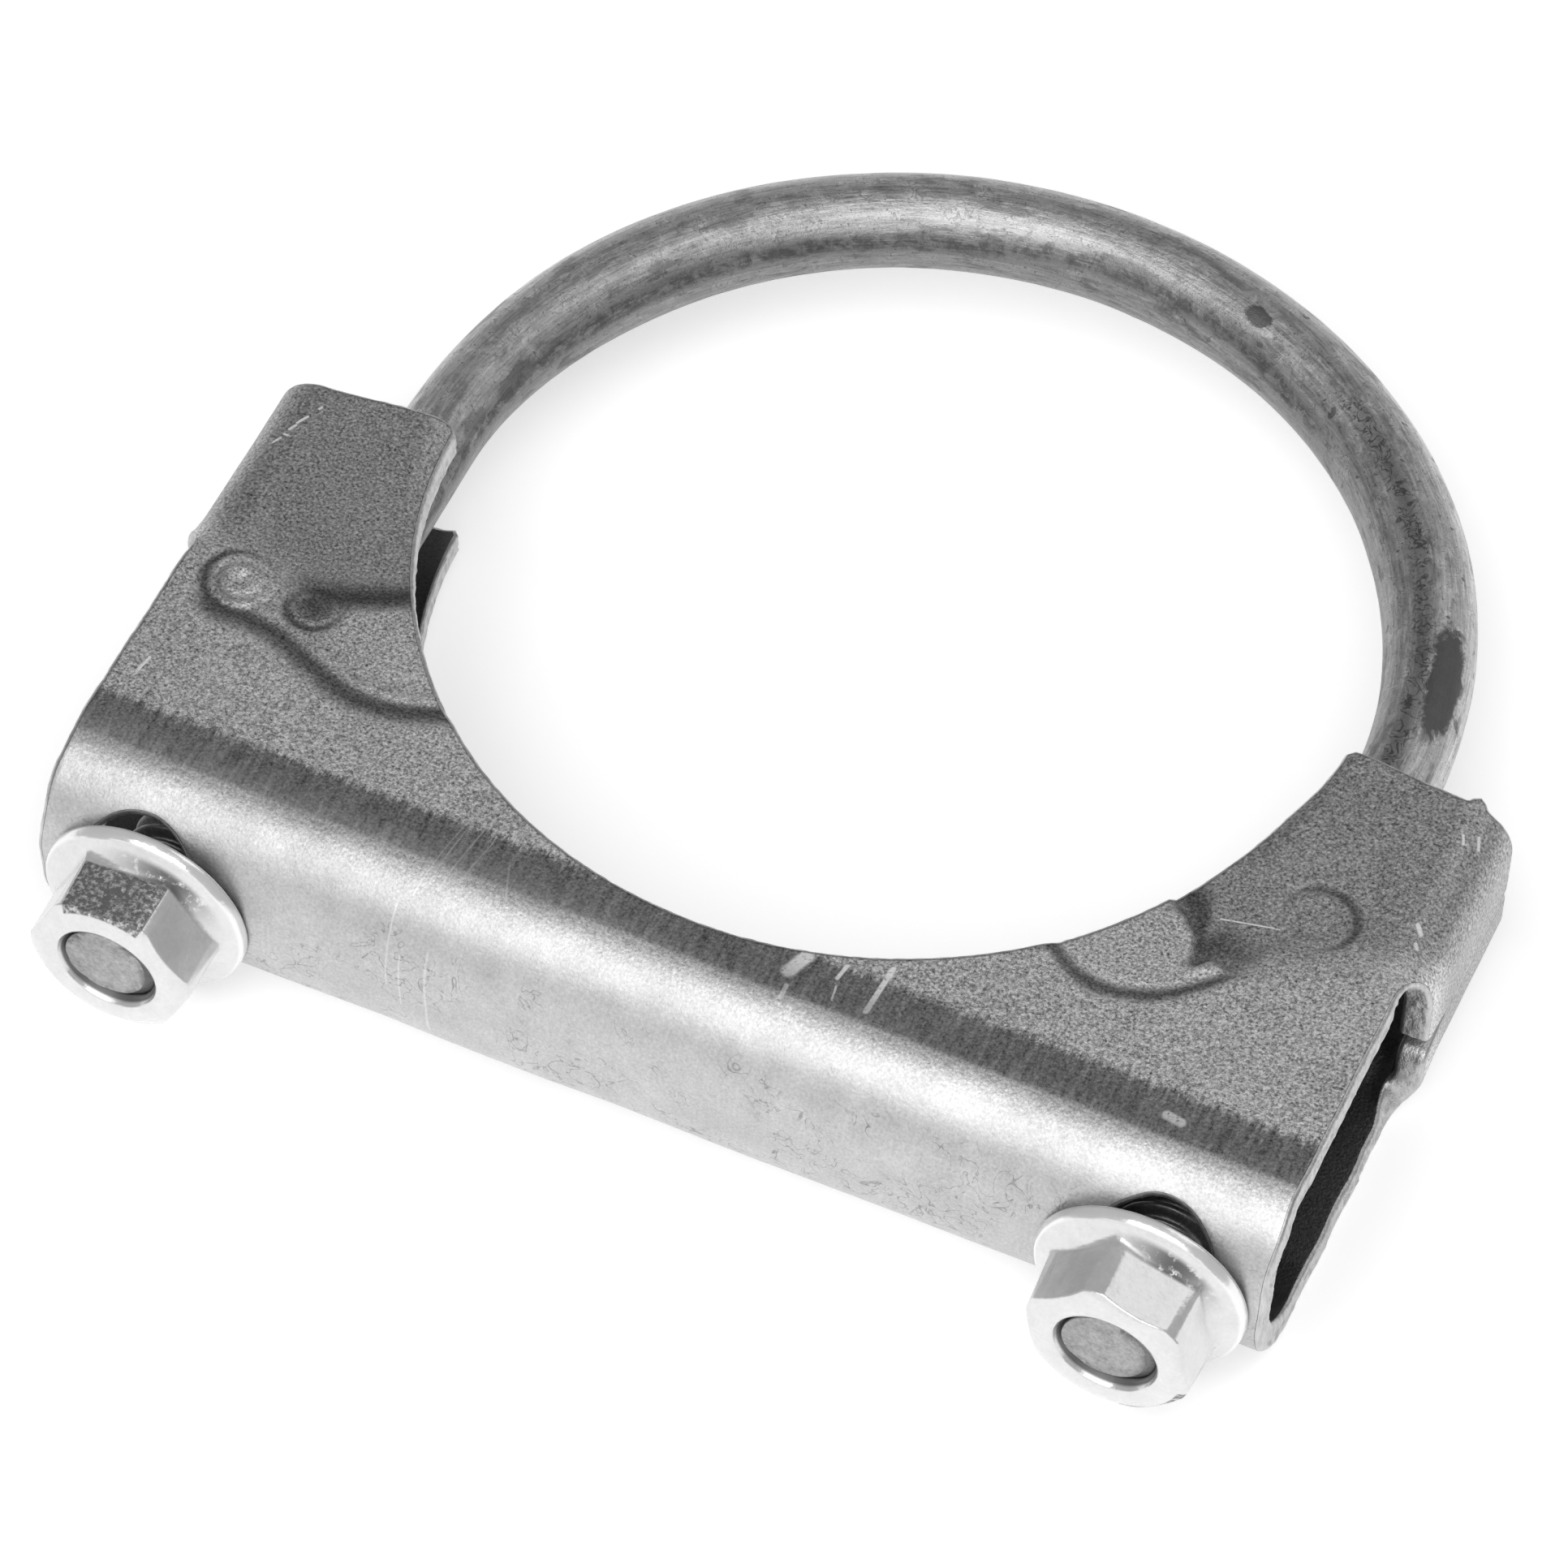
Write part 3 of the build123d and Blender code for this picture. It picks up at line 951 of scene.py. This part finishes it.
def sheet_material():
    """Sandy cheeks, a smooth web with draw lines, a burnished band between them, cut edges."""
    n = Nodes("mill_sheet_steel")
    place = n.place()
    across, along, part = n.split(n.field("flat_mm"))
    wing = n.field("wing", "Fac")
    soot_and_shade = n.field("soot_and_shade", "Fac")
    run = n.math("ABSOLUTE", along)
    flat = n.join(across, along, 0.0)
    cheek = n.step(CHEEK_START - 1.5, CHEEK_START + 2.5, run)
    grain = n.noise(place, 3.9, 3.0, 0.75)
    blotch = n.noise(place, 0.16, 3.0, 0.6)
    cloud = n.noise(place, 0.28, 4.0, 0.65)
    streaks = n.noise(n.stretch(flat, 1.7, 0.24, 1.0), 1.0, 5.0, 0.72, 0.25)
    draw = n.noise(n.stretch(flat, 2.1, 0.05, 1.0), 1.0, 4.0, 0.7)
    # nose and web, grittier towards the cheeks
    gritty = n.add(0.42, n.mul(n.step(CHEEK_START - 5.5, CHEEK_START - 1.5, run), 0.75))
    base_web = n.vary(n.vary(n.vary(0.53, draw, 0.09), cloud, 0.24), grain, gritty)
    base_web = n.sub(base_web, n.mul(sheet_stain(n, place, run), 0.20))
    # cheeks, with painted shade on the wings, which tilt away from the light
    base_cheek = n.vary(n.vary(0.66, grain, 2.7), blotch, 0.24)
    base_cheek = n.mul(base_cheek, n.lerp(wing, 1.0, 0.66))
    base = n.lerp(cheek, base_web, base_cheek)
    # the band, paler along the nose at the left
    band = sheet_band(n, run, streaks)
    left_share = n.step(8.0, -14.0, across)
    by_nose = n.step(CHEEK_START + 1.6, CHEEK_START - 1.0, run)
    band_tone = n.add(0.25, n.mul(left_share, n.mul(by_nose, 0.12)))
    band_tone = n.vary(n.vary(band_tone, streaks, 0.60), grain, 0.7)
    base = n.lerp(n.mul(band, 0.9), base, band_tone)
    # painted shade and soot in the pressed lines, round the pin marks and on the slopes
    darkening = n.mul(soot_and_shade, n.step(0.05, 0.60, n.vary(n.vary(soot_and_shade, cloud, 0.9), grain, 1.3)))
    base = n.lerp(n.mul(darkening, 0.90), base, n.mul(n.mul(grain, grain), 0.38))
    base, nicks = sheet_marks(n, base, place, across, along, cheek)
    # the cut edge
    cut_lines = n.noise(n.stretch(place, 2.4, 2.4, 0.5), 1.0, 3.0, 0.6)
    at_rim = n.step(0.25, 0.8, part)
    base = n.lerp(at_rim, base, n.vary(0.56, cut_lines, 0.5))
    # painted shade inside the fold, where the sheet lies in shadow; it is oily there as well
    inner_shade = n.mul(n.step(0.05, 0.28, part), n.step(0.5, 0.32, part))
    base = n.lerp(n.mul(inner_shade, 0.92), base, 0.07)
    base = n.math("MAXIMUM", base, 0.03)
    rough = n.vary(n.lerp(cheek, 0.41, n.vary(0.50, grain, 0.24)), draw, 0.08)
    rough = n.lerp(n.mul(band, 0.7), rough, n.vary(0.42, streaks, 0.2))
    rough = n.lerp(n.mul(nicks, 0.9), rough, 0.75)
    rough = n.lerp(at_rim, rough, 0.42)
    pits = n.mul(n.noise(place, 4.2, 2.0, 0.6), n.lerp(cheek, 0.25, 1.0))
    lines = n.add(n.mul(draw, 0.25), n.mul(cloud, 1.4))
    lines = n.mul(lines, n.sub(1.0, n.mul(cheek, 0.8)))
    return n.finish(base, rough, [(pits, 0.00006), (lines, 0.00003), (n.mul(streaks, band), 0.00003)])


# Dark spots of scale on the rod: way round from the outer side, way along, half sizes, tone, strength
SCALE_SPOTS = [
    (4.5, 181.0, 1.8, 5.9, 0.15, 1.0),
    (7.5, 139.6, 0.9, 1.5, 0.14, 0.85),
    (9.6, 127.0, 1.1, 3.4, 0.10, 0.40),
    (10.2, 66.5, 1.0, 2.6, 0.10, 0.45),
    (9.8, 60.0, 0.8, 2.0, 0.13, 0.35),
]


def rod_streaks(n, base, girth, span, lines, mottle):
    """A dark line along the rod, broken up by noise, and where a second one starts. Returns tone and
    second.
    """
    wander = n.sub(10.9, n.mul(n.mul(n.step(112.0, 124.0, span), n.step(148.0, 138.0, span)), 0.9))
    streak = n.step(1.5, 0.2, n.math("ABSOLUTE", n.sub(girth, wander)))
    streak = n.mul(streak, n.step(157.0, 148.0, span))
    second = n.step(1.3, 0.2, n.math("ABSOLUTE", n.sub(girth, 7.1)))
    streak = n.add(streak, n.mul(n.mul(second, n.step(150.0, 157.0, span)), 0.8))
    streak = n.mul(streak, n.step(0.38, 0.56, n.add(n.mul(lines, 0.4), n.mul(mottle, 0.6))))
    return n.lerp(n.mul(streak, 0.85), base, 0.09), second


def rod_sides_and_highlight(n, base, girth):
    """The inside of the bend is darker, its outside is lighter, and a painted highlight stripe runs
    between them.
    """
    inside = n.mul(n.step(9.5, 12.5, girth), n.step(18.5, 15.0, girth))
    base = n.mul(base, n.sub(1.0, n.mul(inside, 0.38)))
    # painted highlight stripe along the top of the rod
    highlight_stripe = n.mul(n.step(3.5, 6.5, girth), n.step(9.2, 8.0, girth))
    base = n.mul(base, n.add(1.0, n.mul(highlight_stripe, 0.22)))
    outside = n.mul(n.step(-2.0, 1.5, girth), n.step(6.2, 4.8, girth))
    return n.mul(base, n.add(1.0, n.mul(outside, 0.36)))


def rod_crazing(n, base, place, span, mottle, second):
    """Fine dark crazing where the bend has cracked the scale, and pits along its right half."""
    crazing = n.math("ABSOLUTE", n.sub(n.noise(place, 0.85, 2.0, 0.6, 0.9), 0.5))
    crazed = n.add(n.mul(n.step(0.46, 0.60, mottle), 0.5), n.mul(second, n.step(148.0, 155.0, span)))
    crazing = n.mul(n.step(0.050, 0.010, crazing), n.math("MINIMUM", crazed, 1.0))
    base = n.lerp(n.mul(crazing, 0.85), base, 0.10)
    pits = n.mul(n.step(0.66, 0.71, n.noise(place, 0.8, 2.0, 0.55)), n.step(110.0, 150.0, span))
    return n.lerp(n.mul(pits, 0.7), base, 0.12)


def rod_spots(n, base, girth, span, mottle, speck):
    """The dark spots of scale, with edges that are broken up more the weaker the spot is."""
    for spot_girth, spot_span, half_girth, half_span, tone, strength in SCALE_SPOTS:
        px = n.mul(n.sub(girth, spot_girth), 1 / half_girth)
        py = n.mul(n.sub(span, spot_span), 1 / half_span)
        away = n.math("SQRT", n.add(n.mul(px, px), n.mul(py, py)))
        away = n.vary(n.vary(away, mottle, 1.1), speck, 1.4 * (1.0 - strength))
        base = n.lerp(n.mul(n.step(1.08, 0.80, away), strength), base, tone)
    return base


def rod_end_tone(n, place, beside, above, mottle, speck):
    """The sheared end faces, smudged towards their edge."""
    radius = n.math("SQRT", n.add(n.mul(beside, beside), n.mul(above, above)))
    darkening = n.mul(n.step(2.3, 3.5, radius), n.step(0.44, 0.58, n.noise(place, 0.35, 4.0, 0.7)))
    return n.mul(n.vary(n.vary(0.38, speck, 0.4), mottle, 0.5), n.sub(1.0, n.mul(darkening, 0.6)))


def rod_material():
    """Drawn bar with worn scale."""
    n = Nodes("drawn_bar_steel")
    place = n.place()
    # the bar as it was before it was bent, and the way round it from its outer side
    bar = n.field("rod_mm")
    beside, above, span = n.split(bar)
    girth = n.mul(n.add(n.math("ARCTAN2", n.mul(beside, -1.0), above), math.pi / 2), ROD_R)
    thread = n.step(0.1, 0.6, n.field("thread", "Fac"))
    end = n.step(0.35, 0.8, n.field("end", "Fac"))
    lines = n.noise(n.stretch(bar, 4.5, 4.5, 0.35), 1.0, 4.0, 0.75)
    drawn = n.noise(n.stretch(bar, 1.6, 1.6, 0.09), 1.0, 4.0, 0.7)
    mottle = n.noise(place, 0.7, 6.0, 0.75, 0.5)
    speck = n.noise(place, 3.0, 4.0, 0.7)
    base = n.vary(n.vary(0.45, lines, 0.70), drawn, 0.40)
    base = n.vary(n.vary(base, mottle, 0.60), speck, 0.25)
    # worn scale, in ragged patches that follow the drawing
    patch = n.step(0.54, 0.64, n.noise(n.stretch(bar, 0.55, 0.55, 0.20), 1.0, 4.0, 0.66, 0.15))
    base = n.lerp(n.mul(patch, 0.55), base, 0.17)
    base = n.lerp(n.mul(n.step(0.58, 0.66, speck), 0.65), base, 0.10)
    base, second = rod_streaks(n, base, girth, span, lines, mottle)
    base = rod_sides_and_highlight(n, base, girth)
    base = rod_crazing(n, base, place, span, mottle, second)
    base = rod_spots(n, base, girth, span, mottle, speck)
    # the threads are darker: painted shade for the dark inside the slots, and oil
    base = n.lerp(n.mul(thread, 0.85), base, 0.13)
    base = n.lerp(end, base, rod_end_tone(n, place, beside, above, mottle, speck))
    base = n.math("MAXIMUM", base, 0.05)
    rough = n.vary(n.vary(0.43, mottle, 0.40), lines, 0.25)
    rough = n.lerp(n.mul(patch, 0.5), rough, 0.55)
    rough = n.lerp(end, rough, 0.45)
    return n.finish(base, rough, [(lines, 0.00004), (speck, 0.00003), (mottle, 0.00005)])


# The passivated plating is partly matt
PLATING_METALLIC = 0.62


def nut_material():
    """Bright plating, with one etched facet, painted shade in the bore, a painted dark reflection by
    the flange and a painted highlight on the rim.
    """
    n = Nodes("bright_zinc_plate")
    place = n.place()
    radius, height, etched = n.split(n.field("nut_mm"))
    cloud = n.noise(place, 0.5, 4.0, 0.6)
    fine = n.noise(place, 2.6, 3.0, 0.65)
    turned = n.noise(n.join(n.mul(radius, 5.0), n.mul(height, 3.0), 0.0), 1.0, 2.0, 0.5)
    bore = n.step(4.20, 4.06, radius)
    side = n.mul(n.step(6.15, 6.32, radius), n.step(2.35, 2.6, height))
    etching = n.mul(n.mul(side, etched), n.step(0.28, 0.56, fine))
    base = n.vary(n.vary(0.74, cloud, 0.18), fine, 0.16)
    base = n.lerp(n.mul(etching, 0.88), base, 0.09)
    # painted shade in the bore
    base = n.lerp(n.mul(bore, 0.92), base, 0.10)
    # painted dark reflection in the corner above the flange, on one side of the nut
    corner = n.mul(n.step(7.95, 7.35, radius), n.step(2.65, 2.30, height))
    corner = n.mul(corner, n.step(6.0, 6.3, radius))
    dark_reflection = n.mul(n.field("dark_reflection", "Fac"), corner)
    dark_reflection = n.mul(dark_reflection, n.step(0.32, 0.47, n.noise(place, 1.3, 4.0, 0.7)))
    base = n.lerp(n.mul(dark_reflection, 0.92), base, 0.11)
    # painted highlight on the flange's rim
    rim_highlight = n.mul(n.step(FLANGE_R - 0.5, FLANGE_R - 0.2, radius), n.step(0.1, 0.4, height))
    base = n.lerp(n.mul(rim_highlight, 0.75), base, 1.0)
    rough = n.add(n.vary(0.21, cloud, 0.16), n.mul(etching, 0.30))
    rough = n.lerp(bore, rough, 0.4)
    rough = n.lerp(dark_reflection, rough, 0.6)
    pitted = n.mul(fine, n.mul(side, etched))
    bumps = [(cloud, 0.00006), (turned, 0.00001), (fine, 0.000012), (pitted, 0.0001)]
    material = n.finish(base, rough, bumps)
    n.shader.inputs["Metallic"].default_value = PLATING_METALLIC
    return material


# the floor is a light table, so it stays white close up to the part
FLOOR_GLOW = 0.45
WHITE = (1, 1, 1, 1)


def floor_material():
    n = Nodes("pale_paper")
    place = n.place()
    fibre = n.noise(place, 0.8, 3.0, 0.6)
    material = n.finish(n.vary(0.85, fibre, 0.02), 0.9, [(fibre, 0.00001)])
    n.shader.inputs["Metallic"].default_value = 0.0
    n.shader.inputs["Emission Color"].default_value = WHITE
    n.shader.inputs["Emission Strength"].default_value = FLOOR_GLOW
    return material


# ---------------------------------------------------------------- the pieces

sheet = build_saddle(sheet_material())
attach(sheet, "saddle")
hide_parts("saddle")

rod = build_rod(rod_material())
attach(rod, "u_bolt")
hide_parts("u_bolt")

zinc = nut_material()
for body, leg_x, turn, dull_facet, seed in (
    ("nut_left", -LEG_X, LEFT_NUT_TURN, 1, 41),
    ("nut_right", LEG_X, RIGHT_NUT_TURN, 4, 51),
):
    nut = build_nut("flange_" + body, leg_x, turn, dull_facet, seed, zinc)
    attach(nut, body)
    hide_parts(body)

# ---------------------------------------------------------------- floor, light and camera

scene = bpy.context.scene
scene.view_settings.view_transform = "Standard"
FLOOR_SIZE = 6.0
FLOOR_Z = saddle_low[2] * MM - 0.0002
bpy.ops.mesh.primitive_plane_add(size=FLOOR_SIZE, location=(0, 0, FLOOR_Z))
floor = bpy.context.object
floor.name = "floor"
floor.data.materials.append(floor_material())

WORLD_LIGHT = 0.26
world = bpy.data.worlds.new("studio")
world.use_nodes = True
background = world.node_tree.nodes["Background"]
background.inputs["Color"].default_value = WHITE
background.inputs["Strength"].default_value = WORLD_LIGHT
scene.world = world


def softbox(name, direction, distance, width, height, brightness):
    """An area light that faces the object."""
    light = bpy.data.lights.new(name, "AREA")
    light.shape = "RECTANGLE"
    light.size = width
    light.size_y = height
    light.energy = math.pi * brightness * width * height
    lamp = bpy.data.objects.new(name, light)
    direction = Vector(direction).normalized()
    lamp.location = direction * distance
    lamp.rotation_euler = direction.to_track_quat("Z", "Y").to_euler()
    scene.collection.objects.link(lamp)


# Name, the way to the light, its distance, width and height in metres, and its brightness
softbox("key_softbox", (0.05, -0.50, 0.86), 1.4, 1.4, 1.25, 2.4)
softbox("front_softbox", (0.0, -1.0, 0.22), 1.5, 2.4, 1.0, 0.70)
softbox("right_softbox", (0.45, 0.47, 0.75), 1.4, 0.75, 0.75, 0.9)

CAMERA_AIM = Vector((-1.9, -16.8, 0.0)) * MM
CAMERA_DISTANCE = 646.6 * MM
CAMERA_AZIMUTH = math.radians(23.126)
CAMERA_ELEVATION = math.radians(52.817)
CAMERA_ROLL = math.radians(1.551)
CAMERA_LENS = 187.7
CAMERA_SENSOR = 36
CAMERA_NEAR = 0.05
to_camera = Vector(
    (
        math.sin(CAMERA_AZIMUTH) * math.cos(CAMERA_ELEVATION),
        -math.cos(CAMERA_AZIMUTH) * math.cos(CAMERA_ELEVATION),
        math.sin(CAMERA_ELEVATION),
    )
)
camera_data = bpy.data.cameras.new("camera")
camera_data.lens = CAMERA_LENS
camera_data.sensor_width = CAMERA_SENSOR
camera_data.clip_start = CAMERA_NEAR
camera = bpy.data.objects.new("camera", camera_data)
upright = to_camera.to_track_quat("Z", "Y").to_matrix()
camera.matrix_world = (
    Matrix.Translation(CAMERA_AIM + to_camera * CAMERA_DISTANCE)
    @ upright.to_4x4()
    @ Matrix.Rotation(CAMERA_ROLL, 4, "Z")
)
scene.collection.objects.link(camera)
scene.camera = camera
